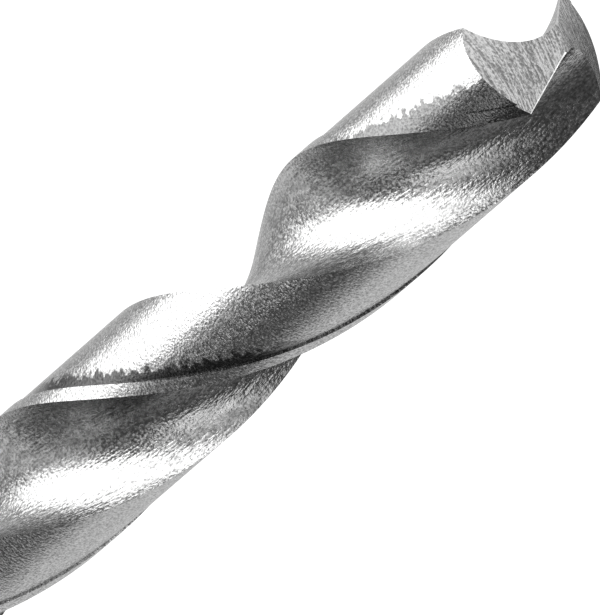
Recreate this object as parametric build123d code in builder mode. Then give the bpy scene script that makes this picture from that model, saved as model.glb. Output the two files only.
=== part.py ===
"""Twist drill bit, jobber series, 10 mm: one piece of high speed steel.

The drill stands on the flat end of its shank, with its axis on +Z and the point upwards.
It is ground from a round bar, and it is built the same way here: a chamfered blank, two
helical flutes, the clearance behind each margin, and a conical grind on each side of the
point. All sizes are in millimetres and degrees.
"""

import os
from math import acos, asin, atan, atan2, cos, degrees, pi, radians, sin, sqrt, tan

from build123d import *

# Overall sizes
drill_diameter = 10.0
overall_length = 133.0
flute_length = 87.0
back_taper = 0.0005  # loss of diameter for each millimetre from the point to the shank
shank_chamfer = 0.6

# Flutes
flute_lead = 63.0  # advance along the axis in one full turn
land_angle = 77.5  # from a leading edge back to its heel
web_at_point = 1.2
web_taper = 0.012  # growth of the web for each millimetre towards the shank
lip_root = 0.9  # the straight lip starts this far outside the web
run_out_length = 11.0  # where the flutes climb out to the shank

# Lands
margin_width = 0.9
clearance_depth = 0.14  # step from the margin down to the cleared land
clearance_run_out = 1.5

# Point
point_angle = 140.0
lip_relief = 11.0
grind_radius = 12.0  # radius of the grinding cone where it meets a lip's outer corner
grind_half_angle = 14.0

# Cutters, which all reach past the blank
cutter_reach = 1.25  # where a cutter's sides end, in radii of the drill
cutter_bow = 1.6  # how far a flute cutter's back bows out, in radii of the drill
cutter_overrun = 1.0  # past the tip of the point
blank_overrun = 0.5
land_overrun = 0.15  # radians that a clearance cutter reaches past the heel
seam_share = 0.58  # where the round parts' seam crosses a land, from margin to heel
rake_points = 7
tangent_step = 0.015  # short step along the rake curve that gives its direction
run_out_sections = 7
helix_sections = 18

# Values that follow from the sizes above
radius = drill_diameter / 2
land_radius = radius - clearance_depth
flute_middle = (pi - radians(land_angle)) / 2  # turn from a leading edge to its flute's middle
half_point = radians(point_angle / 2)
lip_reach = sqrt(radius**2 - (web_at_point / 2) ** 2)
twist_per_mm = 2 * pi / flute_lead
clear_radius = cutter_reach * radius

# The grinding cone touches the lip a little behind its own crest, which gives the relief.
relief = radians(lip_relief)
cone_tilt = half_point - atan(tan(radians(grind_half_angle)) / cos(relief))
crest_offset = grind_radius * sin(relief)
grind_depth = 0.8 * radius  # the stock a grind works on reaches this far below a corner
cone_axial = grind_radius / tan(radians(grind_half_angle))


def grind_cone_frame(corner_height):
    """Apex, axis and side direction of the cone that grinds the flank behind a lip."""
    lip_turn = -asin(web_at_point / 2 / radius)
    along = Vector(cos(lip_turn), sin(lip_turn), 0)
    ahead = Vector(-sin(lip_turn), cos(lip_turn), 0)
    up = Vector(0, 0, 1)
    corner = along * lip_reach + ahead * (web_at_point / 2) + up * corner_height
    axis = along * sin(cone_tilt) - up * cos(cone_tilt)
    outward = along * cos(cone_tilt) + up * sin(cone_tilt)
    ring_centre = corner + ahead * crest_offset - outward * (grind_radius * cos(relief))
    return ring_centre - axis * cone_axial, axis, ahead


def point_height():
    """Height of the chisel edge above the outer corners, where both grinds meet the axis."""
    apex, axis, _ = grind_cone_frame(0)
    spread = 1 / cos(radians(grind_half_angle)) ** 2
    level = apex.X * axis.X + apex.Y * axis.Y
    a = 1 - spread * axis.Z**2
    b = 2 * spread * level * axis.Z
    c = apex.X**2 + apex.Y**2 - spread * level**2
    return apex.Z + max((-b + sign * sqrt(b**2 - 4 * a * c)) / (2 * a) for sign in (1, -1))


corner_height = overall_length - point_height()
shank_length = overall_length - flute_length
shank_radius = radius - back_taper * (corner_height - shank_length) / 2
full_flute_start = shank_length + run_out_length
flute_top = overall_length + cutter_overrun
clearance_start = shank_length + run_out_length / 2
full_clearance_start = clearance_start + clearance_run_out

# Round parts start and end at a seam, which leaves the point inside a land, off its corners.
seam_turn = -radians(land_angle) * seam_share
seam_plane = Plane(
    origin=(0, 0, 0),
    x_dir=(cos(seam_turn), sin(seam_turn), 0),
    z_dir=(sin(seam_turn), -cos(seam_turn), 0),
)


def half_web(height):
    """Half the web's thickness, which grows from the point towards the shank."""
    return (web_at_point + web_taper * (corner_height - height)) / 2


def turn_at(height):
    """Turn of the flute section at a height, in radians."""
    return (height - corner_height) * twist_per_mm


def climb(height, full_start, length, rise):
    """Outward shift of a cutter as it leaves the work along a wheel-shaped path."""
    travelled = max(0.0, full_start - height)
    wheel_radius = (length**2 + rise**2) / (2 * rise)
    return wheel_radius - sqrt(wheel_radius**2 - travelled**2)


def stations(first, last, steps):
    """Evenly spaced values from the first to the last."""
    return [first + (last - first) * step / steps for step in range(steps + 1)]


def section_heights(start, full_start):
    """Heights of a cutter's sections, closer together where it climbs out of the work."""
    low = stations(start, full_start, run_out_sections)
    return low[:-1] + stations(full_start, flute_top, helix_sections)


def polar(distance, turn):
    """Point at a distance from the axis and a turn from the X axis."""
    return Vector(distance * cos(turn), distance * sin(turn))


def rake_point(distance, web):
    """Point of the rake face that leaves a straight lip once the point is ground."""
    reach = sqrt(max(distance**2 - web**2, 0.0))
    full_reach = sqrt(radius**2 - web**2)
    lag = (full_reach - reach) / tan(half_point) * twist_per_mm
    return polar(distance, asin(min(web / distance, 1.0)) - lag - asin(web / radius))


def flute_profile(web):
    """Outline of one flute: rake curve, web arc, heel arc, and a bow outside the blank."""
    root = web + lip_root
    rake = [rake_point(reach, web) for reach in stations(clear_radius, root, rake_points - 1)]
    # The heel arc touches the web in the middle of the flute and ends at the heel corner.
    across = radius * sin(flute_middle)
    outward = radius * cos(flute_middle) - web
    heel_radius = (across**2 + outward**2) / (2 * outward)
    centre_distance = web + heel_radius
    heel_centre = polar(centre_distance, flute_middle)
    # The web arc leaves the rake curve in its own direction and touches the heel arc.
    inward = (rake_point(root, web) - rake_point(root + tangent_step, web)).normalized()
    facing = Vector(inward.Y, -inward.X, 0)
    gap = rake[-1] - heel_centre
    web_arc_radius = (heel_radius**2 - gap.length**2) / (2 * (facing.dot(gap) + heel_radius))
    web_centre = rake[-1] + facing * web_arc_radius
    touch_turn = atan2(web_centre.Y - heel_centre.Y, web_centre.X - heel_centre.X)
    touch = heel_centre + polar(heel_radius, touch_turn)
    web_middle = web_centre - (facing + polar(-1, touch_turn)).normalized() * web_arc_radius
    # The heel arc carries on past the heel corner until it is clear of the blank.
    swing = centre_distance**2 + heel_radius**2 - clear_radius**2
    end_turn = flute_middle + pi - acos(swing / (2 * centre_distance * heel_radius))
    heel_end = heel_centre + polar(heel_radius, end_turn)
    middle_turn = (end_turn + touch_turn % (2 * pi)) / 2
    heel_middle = heel_centre + polar(heel_radius, middle_turn)
    start_turn = atan2(rake[0].Y, rake[0].X)
    bow_turn = (start_turn + atan2(heel_end.Y, heel_end.X)) / 2
    bow = polar(cutter_bow * radius, bow_turn)
    return rake, web_middle, touch, heel_middle, heel_end, bow


def turned_plane(height, phase, shift=0.0, shift_turn=0.0):
    """Level plane whose X axis follows the leading edge round the helix."""
    turn = turn_at(height) + phase
    origin = polar(shift, turn + shift_turn) + Vector(0, 0, height)
    return Plane(origin=origin, x_dir=polar(1, turn), z_dir=(0, 0, 1))


def flute_cutter(phase):
    """Solid of one flute, lofted through sections that turn with the helix."""
    with BuildPart() as cutter:
        for height in section_heights(shank_length, full_flute_start):
            web = half_web(min(height, corner_height))
            shift = climb(height, full_flute_start, run_out_length, radius)
            rake, web_middle, touch, heel_middle, heel_end, bow = flute_profile(web)
            with BuildSketch(turned_plane(height, phase, shift, flute_middle)):
                with BuildLine():
                    Spline(*rake)
                    ThreePointArc(rake[-1], web_middle, touch)
                    ThreePointArc(touch, heel_middle, heel_end)
                    ThreePointArc(heel_end, bow, rake[0])
                make_face()
        loft()
    return cutter.part


def clearance_cutter(phase):
    """Thin shell that is ground off a land behind its margin, with a ramp at its start."""
    inner = land_radius - clearance_depth
    outer = clear_radius + clearance_depth
    near = -margin_width / radius
    far = -radians(land_angle) - land_overrun
    turns = (near, (near + far) / 2, far)
    bottom = clearance_start - clearance_run_out
    top = flute_top + cutter_overrun
    with BuildPart() as cutter:
        for height in stations(bottom, top, helix_sections):
            with BuildSketch(turned_plane(height, phase)):
                with BuildLine():
                    ThreePointArc(*[polar(inner, turn) for turn in turns])
                    Line(polar(inner, far), polar(outer, far))
                    ThreePointArc(*[polar(outer, turn) for turn in reversed(turns)])
                    Line(polar(outer, near), polar(inner, near))
                make_face()
        loft()
        with BuildSketch(seam_plane):
            Polygon(
                (radius + clearance_depth, clearance_start),
                (clear_radius, clearance_start),
                (clear_radius, flute_top),
                (land_radius, flute_top),
                (land_radius, full_clearance_start),
                align=None,
            )
        revolve(axis=Axis.Z, mode=Mode.INTERSECT)
    return cutter.part


def flank_cutter(phase):
    """What the conical grind takes off the point behind one lip."""
    apex, axis, ahead = grind_cone_frame(corner_height)
    cone_length = 2 * cone_axial
    with BuildPart() as cutter:
        with BuildSketch(Plane.XY.offset(corner_height - grind_depth)):
            Circle(clear_radius)
        extrude(amount=grind_depth + 2 * point_height())
        with BuildSketch(Plane(origin=apex, x_dir=axis, z_dir=ahead)):
            with BuildLine():
                Polyline(
                    (0, 0),
                    (cone_length, 0),
                    (cone_length, cone_length * tan(radians(grind_half_angle))),
                    close=True,
                )
            make_face()
        revolve(axis=Axis(apex, axis), mode=Mode.SUBTRACT)
    return cutter.part.rotate(Axis.Z, degrees(phase))


cutters = []
for side in (0, pi):
    cutters += [clearance_cutter(side), flute_cutter(side), flank_cutter(side)]

blank_top = overall_length + blank_overrun
top_radius = radius + back_taper * (blank_top - corner_height) / 2

with BuildPart() as drill_bit:
    with BuildSketch(seam_plane):
        Polygon(
            (0, 0),
            (shank_radius - shank_chamfer, 0),
            (shank_radius, shank_chamfer),
            (shank_radius, shank_length),
            (top_radius, blank_top),
            (0, blank_top),
            align=None,
        )
    revolve(axis=Axis.Z)
    for cutter in cutters:
        add(cutter, mode=Mode.SUBTRACT)

drill_bit.part.label = "drill_bit"
os.makedirs("parts", exist_ok=True)
export_step(drill_bit.part, "parts/drill_bit.step")
box = drill_bit.part.bounding_box()
print("solids", len(drill_bit.part.solids()), "volume", round(drill_bit.part.volume, 1))
print("box", box.min, box.max, "corner height", round(corner_height, 3))
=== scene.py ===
# %% [markdown]
# # A ground twist drill, seen close up at its point
# The CAD part gives the drill its size and place. This lesson dresses it: a finer mesh of
# the same shape, steel that shows how it was ground, a white floor, and soft studio light.
# Everything is in metres, and the drill stands on its shank with its axis on +Z.

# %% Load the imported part
from math import acos, asin, atan, atan2, cos, pi, radians, sin, sqrt, tan

import bmesh
import bpy
from mathutils import Matrix, Vector


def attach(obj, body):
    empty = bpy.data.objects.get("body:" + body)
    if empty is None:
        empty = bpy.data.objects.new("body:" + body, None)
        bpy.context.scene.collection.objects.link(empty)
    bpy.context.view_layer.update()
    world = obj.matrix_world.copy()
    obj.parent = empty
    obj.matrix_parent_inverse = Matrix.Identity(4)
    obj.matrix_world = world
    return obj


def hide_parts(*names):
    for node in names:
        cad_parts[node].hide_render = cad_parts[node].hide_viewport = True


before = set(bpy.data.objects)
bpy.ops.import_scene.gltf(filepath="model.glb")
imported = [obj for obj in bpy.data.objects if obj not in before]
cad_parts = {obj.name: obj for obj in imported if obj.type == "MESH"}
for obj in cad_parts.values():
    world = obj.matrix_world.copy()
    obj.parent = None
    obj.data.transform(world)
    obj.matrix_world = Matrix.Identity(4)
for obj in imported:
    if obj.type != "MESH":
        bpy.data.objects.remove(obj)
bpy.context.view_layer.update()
bpy.ops.object.select_all(action="DESELECT")
scene = bpy.context.scene
scene.view_settings.view_transform = "Standard"

# %% [markdown]
# The camera looks down at the point from behind one land. An orthographic camera would keep
# the drill's sides parallel too, but a very long lens from far away is how a real one does
# it, and it keeps a little of the depth.

# %% Camera
mm_per_m = 1000
corner_height = 131.35  # where the lips' outer corners are, in millimetres
view_turn = radians(154.131)  # turn of the camera round the drill's axis
view_lift = radians(42.039)
view_roll = radians(40.939)
pixels_per_metre = 17438.0
view_distance = 1.0
corner_pixel = (546.175, 51.702)  # where the axis meets the plane of the outer corners
image_size = (600, 615)

across = Vector((sin(view_turn), -cos(view_turn), 0))
towards = Vector((cos(view_turn), sin(view_turn), 0))
up = Vector((0, 0, 1))
back = towards * cos(view_lift) + up * sin(view_lift)
level_up = up * cos(view_lift) - towards * sin(view_lift)
right = level_up * cos(view_roll) - across * sin(view_roll)
top = level_up * sin(view_roll) + across * cos(view_roll)

camera_data = bpy.data.cameras.new("camera")
camera_data.sensor_width = 36.0
focal_length = pixels_per_metre * view_distance * camera_data.sensor_width
camera_data.lens = focal_length / max(image_size)
camera_data.clip_end = 100.0
camera = bpy.data.objects.new("camera", camera_data)
scene.collection.objects.link(camera)
eye = up * corner_height / mm_per_m + back * view_distance
eye -= right * ((corner_pixel[0] - image_size[0] / 2) / pixels_per_metre)
eye += top * ((corner_pixel[1] - image_size[1] / 2) / pixels_per_metre)
aim = Matrix((right, top, back)).transposed().to_4x4()
camera.matrix_world = Matrix.Translation(eye) @ aim
scene.camera = camera
print("lens", round(camera_data.lens, 1), "mm")

# %% [markdown]
# A drill starts as a round bar. The flutes, the clearance behind each margin and the two
# flanks of the point are then ground off it. The same steps work in Blender: the bar is a
# cylinder, each grinding wheel's path is a solid cutter, and a Boolean modifier takes the
# cutter away. One long twisted extrusion of the whole section would also do, but then the
# flutes could not climb out of the steel near the shank.
#
# Blender's mesh tools work best on things about a metre wide, so the drill is modelled with
# one millimetre as one metre, its outer corners at height zero, and shrunk at the end.

# %% Sizes in millimetres
radius = 5.0
overall_length = 133.0
shank_length = 46.0
shank_radius = 4.979
shank_chamfer = 0.6
flute_lead = 63.0
land_angle = radians(77.5)
half_web = 0.6
web_growth = 0.006  # growth of the half web for each millimetre towards the shank
lip_root = 0.9  # how far outside the web the rake curve ends
half_point = radians(70.0)
margin_width = 0.9
margin_turn = margin_width / radius  # in radians
land_radius = 4.86
flute_top = 2.65  # the cutters start here, above the point
flute_bottom = shank_length - corner_height
run_out_length = 11.0
clearance_bottom = flute_bottom + run_out_length / 2
clear_radius = 6.25  # outside the bar, where the cutters end
flute_middle = (pi - land_angle) / 2
twist_per_mm = 2 * pi / flute_lead
print("one turn of the flutes every", flute_lead, "mm")

# %% [markdown]
# The steel is bright, and every grinding wheel leaves its own lines in it. In the flutes
# they follow the helix, on the lands and the shank they run round the bar, and on the
# flanks they run from heel to lip. All of them are noise textures stretched along one
# direction. An image texture could show them too, but it would need a seam somewhere.
#
# The flute lines need a space in which the helix is straight. The nodes turn every point
# back by the twist at its height, so that a line along the flute becomes a line along Z.

# %% Helpers for materials
def new_steel(name, colour, roughness):
    """A metal material with its shader's plain values set."""
    material = bpy.data.materials.new(name)
    material.use_nodes = True
    nodes = material.node_tree.nodes
    shader = nodes["Principled BSDF"]
    shader.inputs["Metallic"].default_value = 1.0
    shader.inputs["Base Color"].default_value = (*colour, 1)
    shader.inputs["Roughness"].default_value = roughness
    return material, nodes, material.node_tree.links, shader


def math_node(nodes, links, operation, first, second=0.0):
    """One sum of the node tree; each input is a number or another node's output."""
    node = nodes.new("ShaderNodeMath")
    node.operation = operation
    for socket, value in zip(node.inputs, (first, second)):
        if isinstance(value, (int, float)):
            socket.default_value = value
        else:
            links.new(value, socket)
    return node.outputs[0]


def object_place(nodes, links):
    """The point's place on the piece, split into X, Y and Z."""
    place = nodes.new("ShaderNodeTexCoord").outputs["Object"]
    parts = nodes.new("ShaderNodeSeparateXYZ")
    links.new(place, parts.inputs[0])
    return place, parts.outputs


def joined(nodes, links, x, y, z):
    node = nodes.new("ShaderNodeCombineXYZ")
    for socket, value in zip(node.inputs, (x, y, z)):
        links.new(value, socket)
    return node.outputs[0]


def untwisted(nodes, links):
    """The point's place with the twist of the flutes taken out."""
    place, (x, y, z) = object_place(nodes, links)
    below_corners = math_node(nodes, links, "SUBTRACT", z, corner_height / mm_per_m)
    turn = math_node(nodes, links, "MULTIPLY", below_corners, twist_per_mm * mm_per_m)
    c = math_node(nodes, links, "COSINE", turn)
    s = math_node(nodes, links, "SINE", turn)
    xc = math_node(nodes, links, "MULTIPLY", x, c)
    ys = math_node(nodes, links, "MULTIPLY", y, s)
    yc = math_node(nodes, links, "MULTIPLY", y, c)
    xs = math_node(nodes, links, "MULTIPLY", x, s)
    return joined(
        nodes, links,
        math_node(nodes, links, "ADD", xc, ys),
        math_node(nodes, links, "SUBTRACT", yc, xs), z,
    )


# %% [markdown]
# Real grinding marks are fine grooves, and cutting them into the mesh would take millions
# of faces. A bump tilts the light in the same way. It needs three more helpers: noise with
# spots of given lengths, the bump made from it, and a way to spread the noise's values.

# %% Helpers for grinding marks
def stretched_noise(nodes, links, place, sizes, detail=2.0):
    """Noise whose spots have the given lengths in millimetres along X, Y and Z."""
    mapping = nodes.new("ShaderNodeMapping")
    mapping.inputs["Scale"].default_value = [mm_per_m / size for size in sizes]
    links.new(place, mapping.inputs["Vector"])
    noise = nodes.new("ShaderNodeTexNoise")
    noise.inputs["Scale"].default_value = 1.0
    noise.inputs["Detail"].default_value = detail
    links.new(mapping.outputs[0], noise.inputs["Vector"])
    return noise.outputs[0]


def add_bump(nodes, links, shader, height, strength, distance_mm):
    bump = nodes.new("ShaderNodeBump")
    bump.inputs["Strength"].default_value = strength
    bump.inputs["Distance"].default_value = distance_mm / mm_per_m
    links.new(height, bump.inputs["Height"])
    if shader.inputs["Normal"].links:
        links.new(shader.inputs["Normal"].links[0].from_socket, bump.inputs["Normal"])
    links.new(bump.outputs[0], shader.inputs["Normal"])


def stretch(nodes, links, value, bottom, top, low, high):
    """Spreads the values between two marks over two others, and holds the rest."""
    node = nodes.new("ShaderNodeMapRange")
    node.inputs["From Min"].default_value = bottom
    node.inputs["From Max"].default_value = top
    node.inputs["To Min"].default_value = low
    node.inputs["To Max"].default_value = high
    links.new(value, node.inputs["Value"])
    return node.outputs[0]


# %% [markdown]
# Three noises make the flute steel: long lines along the helix, fine grain, and blotches a
# little larger. They could be painted on, or drawn as waves, but noise never repeats. As
# bumps they bend the reflections like marks a few hundredths of a millimetre deep, and the
# grain changes how dull and how dark the steel is too.

# %% Ground steel of the flutes
# The marks between which most of a noise lies, for the nodes that spread its values.
narrow_band, middle_band, wide_band = (0.35, 0.65), (0.33, 0.67), (0.3, 0.7)
grain_tones = (0.42, 1.0)  # the darkest and the lightest grain
steel_colour = (0.86, 0.86, 0.87)
flute_steel, nodes, links, shader = new_steel("flute_steel", steel_colour, 0.2)
place = untwisted(nodes, links)
lines = stretched_noise(nodes, links, place, (0.22, 0.22, 3.0))
grain = stretched_noise(nodes, links, place, (0.15, 0.15, 0.22))
blotches = stretched_noise(nodes, links, place, (0.5, 0.5, 0.7))
add_bump(nodes, links, shader, lines, strength=0.9, distance_mm=0.035)
add_bump(nodes, links, shader, blotches, strength=0.4, distance_mm=0.030)
add_bump(nodes, links, shader, grain, strength=0.8, distance_mm=0.040)
polish = stretch(nodes, links, grain, *narrow_band, low=0.08, high=0.32)
links.new(polish, shader.inputs["Roughness"])
print("flute steel with", len(nodes), "nodes")

# %% [markdown]
# The rake side of the flutes, deep under the land, has a painted shade: its colour is made
# darker than the rest. Its strip lies at a set distance from the axis, once the twist is
# taken out, and the blotches make the strip's edges ragged. A second material would give it
# one hard edge.

# %% Painted shade on the rake side of the flutes
sides = nodes.new("ShaderNodeSeparateXYZ")
links.new(place, sides.inputs[0])
out_along = math_node(nodes, links, "ABSOLUTE", sides.outputs["X"])
raggedness = 0.0008
inner_marks, outer_marks = (0.0012, 0.0018), (0.0038, 0.0048)  # in metres from the axis
# Painted shade: the rake strip's colour is darkened down to this share.
rake_shade_level = 0.66
ragged = math_node(nodes, links, "MULTIPLY", blotches, raggedness)
out_along = math_node(nodes, links, "ADD", out_along, ragged)
inner_edge = stretch(nodes, links, out_along, *inner_marks, low=1.0, high=0.0)
outer_edge = stretch(nodes, links, out_along, *outer_marks, low=0.0, high=1.0)
rake_unshaded = math_node(nodes, links, "MAXIMUM", inner_edge, outer_edge)
rake_shade = stretch(nodes, links, blotches, *narrow_band, low=rake_shade_level, high=1.0)
rake_unshaded = math_node(nodes, links, "MAXIMUM", rake_unshaded, rake_shade)
tone = stretch(nodes, links, grain, *middle_band, *grain_tones)
# The painted shade darkens the flute's colour on the rake side.
tone = math_node(nodes, links, "MULTIPLY", tone, rake_unshaded)
links.new(tone, shader.inputs["Base Color"])
print("rake side dulled to", rake_shade_level)

# %% [markdown]
# The lands and the shank were ground while the bar turned, so their lines run round it. The
# noise is short along Z and long in the other two directions, and needs no turning.

# %% Ground steel of the lands and the shank
land_steel, nodes, links, shader = new_steel("land_steel", steel_colour, 0.2)
place, (_, _, height) = object_place(nodes, links)
lines = stretched_noise(nodes, links, place, (0.9, 0.9, 0.16))
grain = stretched_noise(nodes, links, place, (0.15, 0.15, 0.15))
blotches = stretched_noise(nodes, links, place, (0.45, 0.45, 0.45))
add_bump(nodes, links, shader, lines, strength=0.7, distance_mm=0.020)
add_bump(nodes, links, shader, blotches, strength=0.5, distance_mm=0.030)
add_bump(nodes, links, shader, grain, strength=0.8, distance_mm=0.040)
polish = stretch(nodes, links, grain, *narrow_band, low=0.08, high=0.28)
links.new(polish, shader.inputs["Roughness"])
print("land steel with", len(nodes), "nodes")

# %% [markdown]
# Behind each margin a dark, ragged strip is painted into the land's colour, a painted dark
# reflection; the margin itself, the brightest ground surface of all, is kept out of it.
# Both follow the helix, so the nodes turn the point's bearing back by the twist, as a share
# of
# half a turn: 0 or 1 is a leading edge.

# %% Painted dark reflection behind the margins
turned_back = nodes.new("ShaderNodeSeparateXYZ")
links.new(untwisted(nodes, links), turned_back.inputs[0])
bearing = math_node(
    nodes, links, "ARCTAN2", turned_back.outputs["Y"], turned_back.outputs["X"]
)
share = math_node(nodes, links, "DIVIDE", bearing, pi)
share = math_node(nodes, links, "FRACT", share)
margin_start = 1 - margin_turn / pi
ragged = stretch(nodes, links, blotches, *wide_band, low=-0.03, high=0.03)
near_step = math_node(nodes, links, "ADD", share, ragged)
strip_marks = (margin_start - 0.07, margin_start - 0.04)
margin_marks = (margin_start - 0.001, margin_start + 0.001)
upper_marks, lower_marks = (0.103, 0.107), (0.084, 0.087)  # heights where the strip fades
# Painted dark reflection: the strip in which the land's colour is darkened.
painted_shade = stretch(nodes, links, near_step, *strip_marks, low=0.0, high=1.0)
on_margin = stretch(nodes, links, share, *margin_marks, low=0.0, high=1.0)
painted_shade = math_node(nodes, links, "SUBTRACT", painted_shade, on_margin)
upper_fade = stretch(nodes, links, height, *upper_marks, low=1.0, high=0.0)
lower_fade = stretch(nodes, links, height, *lower_marks, low=0.0, high=1.0)
painted_shade = math_node(nodes, links, "MULTIPLY", painted_shade, upper_fade)
painted_shade = math_node(nodes, links, "MULTIPLY", painted_shade, lower_fade)
print("margin from", round(margin_start, 3), "to 1 of half a turn")

# %% [markdown]
# Close to the point the painted dark reflection grows into a wedge, and it covers the
# margin too. Its width grows with height, so the height moves the ragged edge over the
# land. A painted mask could draw the wedge, but it would need a map of its own.

# %% Painted dark reflection as a wedge at the point
wedge_heights, wedge_widths = (0.115, 0.130), (-0.04, 0.19)
wedge_marks = (0.99, 1.01)
# How strongly the wedge's painted dark reflection darkens the land.
wedge_shade = 0.8  # against 1 for the strip
# The darkest colour that the painted dark reflection leaves, as a share of the steel's.
strip_shade_level = 0.14
wedge_width = stretch(nodes, links, height, *wedge_heights, *wedge_widths)
wedge = math_node(nodes, links, "ADD", near_step, wedge_width)
wedge = stretch(nodes, links, wedge, *wedge_marks, low=0.0, high=wedge_shade)
painted_shade = math_node(nodes, links, "MAXIMUM", painted_shade, wedge)
painted_shade = stretch(nodes, links, painted_shade, 0.0, 1.0, low=1.0, high=strip_shade_level)
tone = stretch(nodes, links, grain, *middle_band, *grain_tones)
tone = math_node(nodes, links, "MULTIPLY", tone, painted_shade)
links.new(tone, shader.inputs["Base Color"])
print("strip dulled to", strip_shade_level)

# %% [markdown]
# The two flanks are ground after the flutes and stay a little darker and duller. Their
# lines run from heel to lip, so the place is turned about the axis before the noise is
# stretched. The other flank doesn't need a material of its own: half a turn leaves the
# lines parallel to themselves.

# %% Ground steel of the flanks
flank_steel, nodes, links, shader = new_steel("flank_steel", (0.72, 0.72, 0.73), 0.3)
turned = nodes.new("ShaderNodeMapping")
line_turn = radians(-40)  # from heel to lip
turned.inputs["Rotation"].default_value = (0, 0, line_turn)
links.new(nodes.new("ShaderNodeTexCoord").outputs["Object"], turned.inputs["Vector"])
place = turned.outputs[0]
lines = stretched_noise(nodes, links, place, (1.6, 0.13, 1.6))
grain = stretched_noise(nodes, links, place, (0.20, 0.12, 0.2))
add_bump(nodes, links, shader, lines, strength=0.8, distance_mm=0.030)
add_bump(nodes, links, shader, grain, strength=0.6, distance_mm=0.030)
polish = stretch(nodes, links, lines, *wide_band, low=0.14, high=0.30)
links.new(polish, shader.inputs["Roughness"])
tone = math_node(nodes, links, "ADD", lines, grain)
sum_band = (0.84, 1.16)  # where most of the sum of the two noises lies
tone = stretch(nodes, links, tone, *sum_band, low=0.40, high=1.0)
links.new(tone, shader.inputs["Base Color"])
print("flank steel with", len(nodes), "nodes")

# %% [markdown]
# The hone leaves a narrow land with tiny chips. Its near-white colour, lighter than the
# other steel, is in part a painted highlight of the line it catches. Plain bright metal
# would do, but the chips break its reflection up, so that the line looks ground and not
# drawn.

# %% Honed steel of the lips, partly a painted highlight
# Painted highlight, in part: the honed land's colour is lighter than the other steel's.
hone_steel_highlight, nodes, links, shader = new_steel("hone_steel_highlight", (0.95, 0.95, 0.95), 0.3)
place, _ = object_place(nodes, links)
chips = stretched_noise(nodes, links, place, (0.3, 0.3, 0.3))
add_bump(nodes, links, shader, chips, strength=0.5, distance_mm=0.060)
tone = stretch(nodes, links, chips, *wide_band, low=0.7, high=1.0)
links.new(tone, shader.inputs["Base Color"])
print("honed steel with", len(nodes), "nodes")

# %% [markdown]
# Most shapes here are made in edit mode, where tools work on what is selected. By hand one
# would click on it. In a script it is found by its place, with a test for each vertex.

# %% Helpers for working in edit mode
def start_editing(piece):
    """Makes one object active and opens its mesh with nothing selected."""
    bpy.ops.object.select_all(action="DESELECT")
    bpy.context.view_layer.objects.active = piece
    piece.select_set(True)
    bpy.ops.object.mode_set(mode="EDIT")
    bpy.ops.mesh.select_mode(type="VERT")
    bpy.ops.mesh.select_all(action="DESELECT")


def select_vertices(piece, test):
    """Selects the vertices whose place passes a test, and what lies between them."""
    bpy.ops.mesh.select_mode(type="VERT")
    mesh = bmesh.from_edit_mesh(piece.data)
    for vertex in mesh.verts:
        vertex.select_set(test(vertex.co))
    mesh.select_flush_mode()
    bmesh.update_edit_mesh(piece.data)


def stop_editing():
    bpy.ops.object.mode_set(mode="OBJECT")


# %% [markdown]
# The bar comes first. It could be a lathe profile spun round the axis, but a cylinder with
# one cut across it has the same faces, and its lower part is then shrunk to the shank.

# %% The round bar
bar_sides = 360
bar_length = overall_length + 0.5  # the extra goes when the point is ground
slack = 0.01  # for finding vertices by their place
bpy.ops.mesh.primitive_cylinder_add(
    vertices=bar_sides, radius=radius, depth=bar_length,
    location=(0, 0, bar_length / 2 - corner_height),
)
drill = bpy.context.object
drill.name = "drill"
bpy.ops.object.transform_apply(location=True, rotation=True, scale=True)
start_editing(drill)
bpy.ops.mesh.select_all(action="SELECT")
bpy.ops.mesh.bisect(plane_co=(0, 0, flute_bottom), plane_no=(0, 0, 1))
select_vertices(drill, lambda place: place.z < flute_bottom + slack)
taper = shank_radius / radius
bpy.ops.transform.resize(value=(taper, taper, 1), center_override=(0, 0, 0))
select_vertices(drill, lambda place: place.z < -corner_height + slack)
bpy.ops.mesh.bevel(offset=shank_chamfer, segments=1, affect="EDGES")
stop_editing()
drill.data.materials.append(land_steel)
print("bar", len(drill.data.polygons), "faces")

# %% [markdown]
# A flute's section has three parts. The rake curve behind the cutting lip is shaped so that
# the lip comes out straight once the point is ground. A small arc runs round the web, and a
# wide arc carries the chips up to the heel. The section is drawn as an outline of points
# with its middle on +Y, and closed well outside the bar.

# %% Outline of a flute
rake_steps, web_steps, heel_steps, back_steps = 26, 14, 44, 8
back_radius = 1.6 * radius  # well outside the bar, where the outline is closed
small_step = 0.01  # for the direction in which the rake curve ends


def polar(distance, turn):
    return Vector((distance * cos(turn), distance * sin(turn), 0))


def rake_point(distance):
    reach = sqrt(max(distance**2 - half_web**2, 0.0))
    lag = (sqrt(radius**2 - half_web**2) - reach) / tan(half_point) * twist_per_mm
    turn = asin(min(half_web / distance, 1.0)) - lag - asin(half_web / radius)
    return polar(distance, turn + pi / 2 - flute_middle)


def steps(first, last, count):
    return [first + (last - first) * step / count for step in range(count + 1)]


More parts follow.
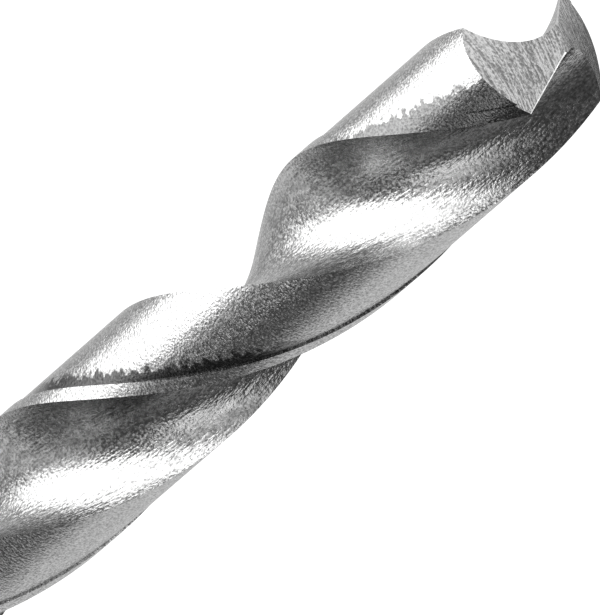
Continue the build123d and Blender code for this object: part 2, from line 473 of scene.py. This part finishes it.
def flute_outline():
    root = half_web + lip_root
    rake = [rake_point(distance) for distance in steps(clear_radius, root, rake_steps)]
    outward = radius * cos(flute_middle) - half_web
    heel_radius = ((radius * sin(flute_middle)) ** 2 + outward**2) / (2 * outward)
    heel_centre = Vector((0, half_web + heel_radius, 0))
    inward = (rake_point(root) - rake_point(root + small_step)).normalized()
    facing = Vector((inward.y, -inward.x, 0))
    gap = rake[-1] - heel_centre
    both_ways = 2 * (facing.dot(gap) + heel_radius)
    web_radius = (heel_radius**2 - gap.length_squared) / both_ways
    web_centre = rake[-1] + facing * web_radius
    touch = atan2(web_centre.y - heel_centre.y, web_centre.x - heel_centre.x) % (2 * pi)
    web_start = atan2(-facing.y, -facing.x) % (2 * pi)
    swing = heel_centre.y**2 + heel_radius**2 - clear_radius**2
    heel_stop = 3 * pi / 2 - acos(swing / (2 * heel_centre.y * heel_radius))
    web_turns = steps(web_start, touch, web_steps)
    heel_turns = steps(touch, heel_stop, heel_steps)
    web_arc = [web_centre + polar(web_radius, turn) for turn in web_turns]
    heel_arc = [heel_centre + polar(heel_radius, turn) for turn in heel_turns]
    first, last = rake[0], heel_arc[-1]
    back_turns = steps(atan2(last.y, last.x), atan2(first.y, first.x), back_steps)
    back_arc = [polar(back_radius, turn) for turn in back_turns]
    return rake + web_arc[1:] + heel_arc[1:] + back_arc


flute_points = flute_outline()
print("flute outline", len(flute_points), "points")

# %% [markdown]
# The cutter is drawn straight down from the point and twisted afterwards. Its first stretch
# covers the point, and the next one gets shallower by the growth of the web. The last
# stretch follows the rim of the grinding wheel outwards, which is the flute's run-out.

# %% Helpers for long cutters
level_slack = 0.001  # for finding the edges between two heights


def apply_modifier(piece, kind, **settings):
    """Adds one modifier with its settings and applies it."""
    bpy.context.view_layer.objects.active = piece
    modifier = piece.modifiers.new(kind.lower(), kind)
    for name, value in settings.items():
        setattr(modifier, name, value)
    bpy.ops.object.modifier_apply(modifier=modifier.name)


def outline_face(name, points, height):
    """A face with its corners at the outline's points."""
    bpy.ops.mesh.primitive_circle_add(vertices=len(points), radius=radius, fill_type="NGON")
    piece = bpy.context.object
    piece.name = name
    for vertex, point in zip(piece.data.vertices, points):
        vertex.co = (point.x, point.y, height)
    start_editing(piece)
    bpy.ops.mesh.select_all(action="SELECT")
    return piece


def draw_down(depth, outward=0.0):
    bpy.ops.mesh.extrude_region_move(TRANSFORM_OT_translate={"value": (0, outward, -depth)})


def add_levels(piece, high, low, count):
    """Cuts the upright edges between two heights into equal lengths."""
    bpy.ops.mesh.select_mode(type="EDGE")
    mesh = bmesh.from_edit_mesh(piece.data)
    for edge in mesh.edges:
        ends = sorted(vertex.co.z for vertex in edge.verts)
        off = max(abs(ends[0] - low), abs(ends[1] - high))
        edge.select_set(off < level_slack)
    bmesh.update_edit_mesh(piece.data)
    bpy.ops.mesh.subdivide(number_cuts=count - 1)


def twist_up(piece):
    """Turns the straight cutter into a helix, with no turn at the outer corners."""
    heights = [vertex.co.z for vertex in piece.data.vertices]
    angle = (max(heights) - min(heights)) * twist_per_mm
    apply_modifier(
        piece, "SIMPLE_DEFORM", deform_method="TWIST", angle=angle, deform_axis="Z",
    )
    start_editing(piece)
    bpy.ops.mesh.select_all(action="SELECT")
    bpy.ops.mesh.quads_convert_to_tris()
    bpy.ops.mesh.normals_make_consistent(inside=False)
    stop_editing()


# %% [markdown]
# With these helpers a flute's cutter takes a few lines: draw the outline down to each
# height, make it shallower or move it outwards there, and twist the whole at the end.

# %% Cutter of a flute
point_levels, flute_levels, run_out_steps = 6, 150, 22
flute = outline_face("flute_cutter", flute_points, flute_top)
draw_down(flute_top)
straight_length = -flute_bottom - run_out_length
draw_down(straight_length)
corner_line = radius * cos(flute_middle)
depth_left = 1 - web_growth * straight_length / (corner_line - half_web)
bpy.ops.transform.resize(
    value=(1, depth_left, 1), center_override=(0, corner_line, -straight_length)
)
wheel_radius = (run_out_length**2 + radius**2) / (2 * radius)
travel = steps(0, run_out_length, run_out_steps)
rise = [wheel_radius - sqrt(wheel_radius**2 - gone**2) for gone in travel]
for lower, higher, before, after in zip(travel[1:], travel, rise, rise[1:]):
    draw_down(lower - higher, after - before)
add_levels(flute, flute_top, 0, point_levels)
add_levels(flute, 0, -straight_length, flute_levels)
stop_editing()
twist_up(flute)
flute.data.materials.append(flute_steel)
print("flute cutter", len(flute.data.polygons), "faces")

# %% [markdown]
# Behind each margin the land is ground 0.14 mm lower, so that only the narrow margin rubs
# in the hole. This cutter is a thin shell outside the land, made in the same way.

# %% Cutter of the land's clearance
floor_steps, rim_steps, clearance_levels = 60, 12, 160
past_heel = 0.15  # how far the cutter turns on over the flute, in radians
ramp_length = 1.5
ramp_top = clearance_bottom + ramp_length


def sector_outline(floor, near, far):
    inner = [polar(floor, turn) for turn in steps(near, far, floor_steps)]
    outer = [polar(clear_radius, turn) for turn in steps(far, near, rim_steps)]
    return inner + outer


def at_ramp_foot(place):
    return place.z < clearance_bottom + slack and place.xy.length < land_radius + slack


floor_points = sector_outline(land_radius, -margin_turn, -land_angle - past_heel)
clearance = outline_face("clearance_cutter", floor_points, flute_top)
draw_down(flute_top - clearance_bottom - ramp_length)
add_levels(clearance, flute_top, ramp_top, clearance_levels)
select_vertices(clearance, lambda place: place.z < ramp_top + slack)
draw_down(ramp_length)
select_vertices(clearance, at_ramp_foot)
ramp = (2 * radius - land_radius) / land_radius
bpy.ops.transform.resize(value=(ramp, ramp, 1), center_override=(0, 0, 0))
stop_editing()
twist_up(clearance)
clearance.data.materials.append(land_steel)
print("clearance cutter", len(clearance.data.polygons), "faces")

# %% [markdown]
# Each flank of the point is part of a cone, because the drill rocks against the wheel while
# it is sharpened. The cutter is a round block with that cone taken out of it.

# %% Place of the cone
relief = radians(11.0)
grind_radius = 12.0
grind_half_angle = radians(14.0)
cone_tilt = half_point - atan(tan(grind_half_angle) / cos(relief))
cone_axial = grind_radius / tan(grind_half_angle)
lip_turn = -asin(half_web / radius)
along = polar(1, lip_turn)
ahead = polar(1, lip_turn + pi / 2)
corner = along * sqrt(radius**2 - half_web**2) + ahead * half_web
cone_axis = along * sin(cone_tilt) - up * cos(cone_tilt)
outward = along * cos(cone_tilt) + up * sin(cone_tilt)
ring_centre = corner + ahead * grind_radius * sin(relief)
ring_centre = ring_centre - outward * grind_radius * cos(relief)
apex = ring_centre - cone_axis * cone_axial
cone_length = 2 * cone_axial
print("grinding cone", round(cone_length, 1), "mm long")

# %% [markdown]
# A cone has flat sides in Blender, so this one gets very many, and the flank still looks
# round. The cone is taken out of the block, and what stays of the block is the cutter.

# %% Cutter of a flank
cone_sides, block_sides = 1440, 64
block_length, block_middle = 7, -0.5
bpy.ops.mesh.primitive_cone_add(
    vertices=cone_sides, radius1=cone_length * tan(grind_half_angle), radius2=0,
    depth=cone_length, location=apex + cone_axis * cone_length / 2,
    rotation=(-cone_axis).to_track_quat("Z", "Y").to_euler(),
)
cone = bpy.context.object
bpy.ops.object.transform_apply(location=True, rotation=True, scale=True)
bpy.ops.mesh.primitive_cylinder_add(
    vertices=block_sides, radius=clear_radius, depth=block_length,
    location=(0, 0, block_middle),
)
flank = bpy.context.object
flank.name = "flank_cutter"
bpy.ops.object.transform_apply(location=True, rotation=True, scale=True)


def cut(piece, cutter):
    """Takes a cutter away from a piece, and deletes the cutter."""
    apply_modifier(
        piece, "BOOLEAN", operation="DIFFERENCE", object=cutter, solver="EXACT",
        material_mode="TRANSFER",
    )
    bpy.data.objects.remove(cutter)


flank.data.materials.append(flank_steel)
cone.data.materials.append(flank_steel)
cut(flank, cone)
print("flank cutter", len(flank.data.polygons), "faces")

# %% [markdown]
# No cutting edge is perfectly sharp. A honed lip has a narrow bright land along it, which
# catches the light as a fine line. A bevel on the mesh's own edges would have to cross many
# thin faces there, so a flat block takes the edge off, as a hone does.

# %% Cutter of a lip's hone
honed = 0.08  # how far the edge itself is honed back
hone_length, hone_width, hone_thickness = 5.6, 0.8, 0.5
hone_reach = 1.8  # from the outer corner to the hone's middle
lip_line = up * cos(half_point) - along * sin(half_point)
grind_side = outward * cos(relief) - ahead * sin(relief)
flank_side = (grind_side - lip_line * grind_side.dot(lip_line)).normalized()
hone_side = (flank_side + ahead).normalized()
hone_across = lip_line.cross(hone_side)
hone_middle = corner + lip_line * hone_reach + hone_side * (hone_thickness / 2 - honed)
bpy.ops.mesh.primitive_cube_add(size=1)
hone = bpy.context.object
hone.name = "hone_cutter"
hone_axes = (lip_line * hone_length, hone_across * hone_width, hone_side * hone_thickness)
hone.data.transform(
    Matrix.Translation(hone_middle) @ Matrix(hone_axes).transposed().to_4x4()
)
start_editing(hone)
bpy.ops.mesh.select_all(action="SELECT")
bpy.ops.mesh.normals_make_consistent(inside=False)
stop_editing()
hone.data.materials.append(hone_steel_highlight)
print("hone", honed, "mm deep")

# %% [markdown]
# Now every cutter is used twice, half a turn apart. A mirror would be wrong, because it
# would turn a right-hand helix into a left-hand one. The order is the workshop's: lands and
# flutes first, then the point, and the hone last.

# %% Grind the bar
def half_turn_copy(piece):
    other = piece.copy()
    other.data = piece.data.copy()
    scene.collection.objects.link(other)
    other.data.transform(Matrix.Rotation(pi, 4, "Z"))
    return other


flute.data.transform(Matrix.Rotation(flute_middle - pi / 2, 4, "Z"))
for cutter in (clearance, flute, flank, hone):
    twin = half_turn_copy(cutter)
    cut(drill, cutter)
    cut(drill, twin)
    print("after a pair of cuts", len(drill.data.polygons), "faces")

# %% [markdown]
# The ground bar is now shrunk to metres and stood on its end. Cutting leaves some double
# vertices, which are merged, and edges sharper than a set angle stay sharp when the rest is
# shaded smooth. A subdivision surface would round the cutting edges off.

# %% Shrink and finish the drill
fit = (0.9986, 0.9986, 0.999999)  # keeps the finer mesh inside the CAD part's own facets
merge_distance = 0.0000005
sharp_from = radians(25)
stand_up = Matrix.Translation((0, 0, corner_height))
drill.data.transform(Matrix.Scale(1 / mm_per_m, 4) @ stand_up)
drill.data.transform(Matrix.Diagonal((*fit, 1)))
start_editing(drill)
bpy.ops.mesh.select_all(action="SELECT")
bpy.ops.mesh.remove_doubles(threshold=merge_distance)
bpy.ops.mesh.normals_make_consistent(inside=False)
stop_editing()
bpy.ops.object.shade_smooth_by_angle(angle=sharp_from)
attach(drill, "root")
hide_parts("drill_bit")
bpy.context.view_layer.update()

# %% [markdown]
# The floor is a plain white sheet. Where the camera or a reflection looks at it, it glows a
# little, so that it comes out white, and a shadow still shows on it. A world that is white
# to the camera would need no floor, but then the drill would stand on nothing.

# %% Floor
floor_size, floor_glow = 6.0, 0.35
bpy.ops.mesh.primitive_plane_add(size=floor_size, location=(0, 0, 0))
floor = bpy.context.object
floor.name = "floor"
floor_white = bpy.data.materials.new("floor_white")
floor_white.use_nodes = True
nodes, links = floor_white.node_tree.nodes, floor_white.node_tree.links
shader = nodes["Principled BSDF"]
shader.inputs["Base Color"].default_value = (0.85, 0.85, 0.85, 1)
shader.inputs["Roughness"].default_value = 0.9
shader.inputs["Emission Color"].default_value = (1, 1, 1, 1)
path = nodes.new("ShaderNodeLightPath").outputs
seen = math_node(nodes, links, "MAXIMUM", path["Is Camera Ray"], path["Is Glossy Ray"])
seen = math_node(nodes, links, "MAXIMUM", seen, path["Is Transmission Ray"])
glow = math_node(nodes, links, "MULTIPLY", seen, floor_glow)
links.new(glow, shader.inputs["Emission Strength"])
floor.data.materials.append(floor_white)
print("floor", floor_size, "m wide")

# %% [markdown]
# A plain white world lights the floor evenly from all sides. A lamp would draw one hard
# shadow; this light leaves only a soft one where the drill stands.

# %% World
world = bpy.data.worlds.new("studio")
scene.world = world
world.use_nodes = True
background = world.node_tree.nodes["Background"]
background.inputs["Color"].default_value = (1, 1, 1, 1)
background.inputs["Strength"].default_value = 1.0
print("world", world.name)

# %% [markdown]
# Polished steel shows its surroundings, and in an all white room it would look flat. In a
# studio, white and dark card stands close round it. Single cards with their own lamps would
# do, but one drum of card round the drill, seen only by reflections, is easier to tune. Its
# brightness changes softly with direction.

# %% Drum of card round the drill
card_radius = 0.085
card_height = 0.25
floor_gap = 0.001
drum_sides = 96
bpy.ops.mesh.primitive_cylinder_add(
    vertices=drum_sides, radius=card_radius, depth=card_height, end_fill_type="NGON",
    location=(0, 0, card_height / 2 + floor_gap),
)
cards = bpy.context.object
cards.name = "cards"
bpy.ops.object.transform_apply(location=True, rotation=True, scale=True)
for ray in ("camera", "diffuse", "transmission", "volume_scatter", "shadow"):
    setattr(cards, "visible_" + ray, False)
print("cards", card_radius * mm_per_m, "mm from the axis")

# %% [markdown]
# Each patch of the drum is a round spot seen in one direction from the drill, with a soft
# rim. Its place is the turn from the camera and the lift above the horizon, in degrees. A
# picture wrapped round the drum could do it too, but patches are easier to move one by one.

# %% Soft patches on the drum
card_middle = 0.11  # height from which the directions are measured
card_shade = bpy.data.materials.new("card_shade")
card_shade.use_nodes = True
nodes, links = card_shade.node_tree.nodes, card_shade.node_tree.links
nodes.clear()
place, _ = object_place(nodes, links)
seen_from = nodes.new("ShaderNodeVectorMath")
seen_from.operation = "SUBTRACT"
seen_from.inputs[1].default_value = (0, 0, card_middle)
links.new(place, seen_from.inputs[0])
direction = nodes.new("ShaderNodeVectorMath")
direction.operation = "NORMALIZE"
links.new(seen_from.outputs[0], direction.inputs[0])


def soft_patch(turn, lift, inner, outer):
    """1 inside a round patch in a direction from the drill, fading to 0 at its rim."""
    around = view_turn + radians(turn)
    flat = cos(radians(lift))
    dot = nodes.new("ShaderNodeVectorMath")
    dot.operation = "DOT_PRODUCT"
    heading = (cos(around) * flat, sin(around) * flat, sin(radians(lift)))
    dot.inputs[1].default_value = heading
    links.new(direction.outputs[0], dot.inputs[0])
    fade = nodes.new("ShaderNodeMapRange")
    fade.interpolation_type = "SMOOTHSTEP"
    fade.inputs["From Min"].default_value = cos(radians(outer))
    fade.inputs["From Max"].default_value = cos(radians(inner))
    links.new(dot.outputs["Value"], fade.inputs["Value"])
    return fade.outputs[0]


print("directions are measured from", card_middle, "m up")

# %% [markdown]
# The drum starts as plain grey card. Every patch makes it lighter or darker by its change,
# and nothing gets darker than black card, which still gives back a little light. The white
# card is by far the brightest and is kept apart.

# %% Light and dark card
plain_grey, darkest, white_level = 0.57, 0.08, 1.8
white_patch = (-66, -25, 22, 38)  # turn from the camera, lift, middle and rim radius
card_patches = [  # the same, with the change that each makes to the plain grey
    (30, 5, 56, 74, -0.53),
    (-15, 45, 38, 46, -0.45),
    (-64, -58, 2, 16, -0.35),
    (-170, -22, 40, 62, 0.05),
    (-8, -11, 3, 22, 0.60),
    (75, -25, 12, 30, 0.15),
    (-111, -45, 16, 32, -0.18),
    (166, -12, 20, 25, -0.53),
    (134, 7, 8, 20, 1.40),
    (-95, 68, 28, 46, 0.18),
    (8, -21, 5, 14, 1.00),
]
card_level = plain_grey
for *patch, change in card_patches:
    shown = math_node(nodes, links, "MULTIPLY", soft_patch(*patch), change)
    card_level = math_node(nodes, links, "ADD", shown, card_level)
card_level = math_node(nodes, links, "MAXIMUM", card_level, darkest)
print(len(card_patches), "patches of card and one white card")

# %% [markdown]
# A flute also mirrors itself. The steel takes some light at each reflection, and its grain
# spreads what is left, so a second reflection sees the cards dimmer and the white smaller.
# Rougher steel would do the same, but it would blur the first reflection too.

# %% Card seen in a second reflection
later_level = 0.5
later_patch = (-50, -22, 12, 18)  # what a second reflection still sees of the white
depth = nodes.new("ShaderNodeLightPath").outputs["Glossy Depth"]
first = stretch(nodes, links, depth, 1, 2, low=1.0, high=0.0)
later = math_node(nodes, links, "SUBTRACT", 1.0, first)
dimmed = stretch(nodes, links, first, 0.0, 1.0, low=later_level, high=1.0)
card_level = math_node(nodes, links, "MULTIPLY", card_level, dimmed)
first_white = math_node(nodes, links, "MULTIPLY", soft_patch(*white_patch), first)
later_white = math_node(nodes, links, "MULTIPLY", soft_patch(*later_patch), later)
white = math_node(nodes, links, "ADD", first_white, later_white)
white = math_node(nodes, links, "MULTIPLY", white, white_level)
card_level = math_node(nodes, links, "ADD", card_level, white)
glow = nodes.new("ShaderNodeEmission")
links.new(card_level, glow.inputs["Strength"])
output = nodes.new("ShaderNodeOutputMaterial")
links.new(glow.outputs[0], output.inputs["Surface"])
cards.data.materials.append(card_shade)
print("a later reflection sees", later_level, "of the grey card")
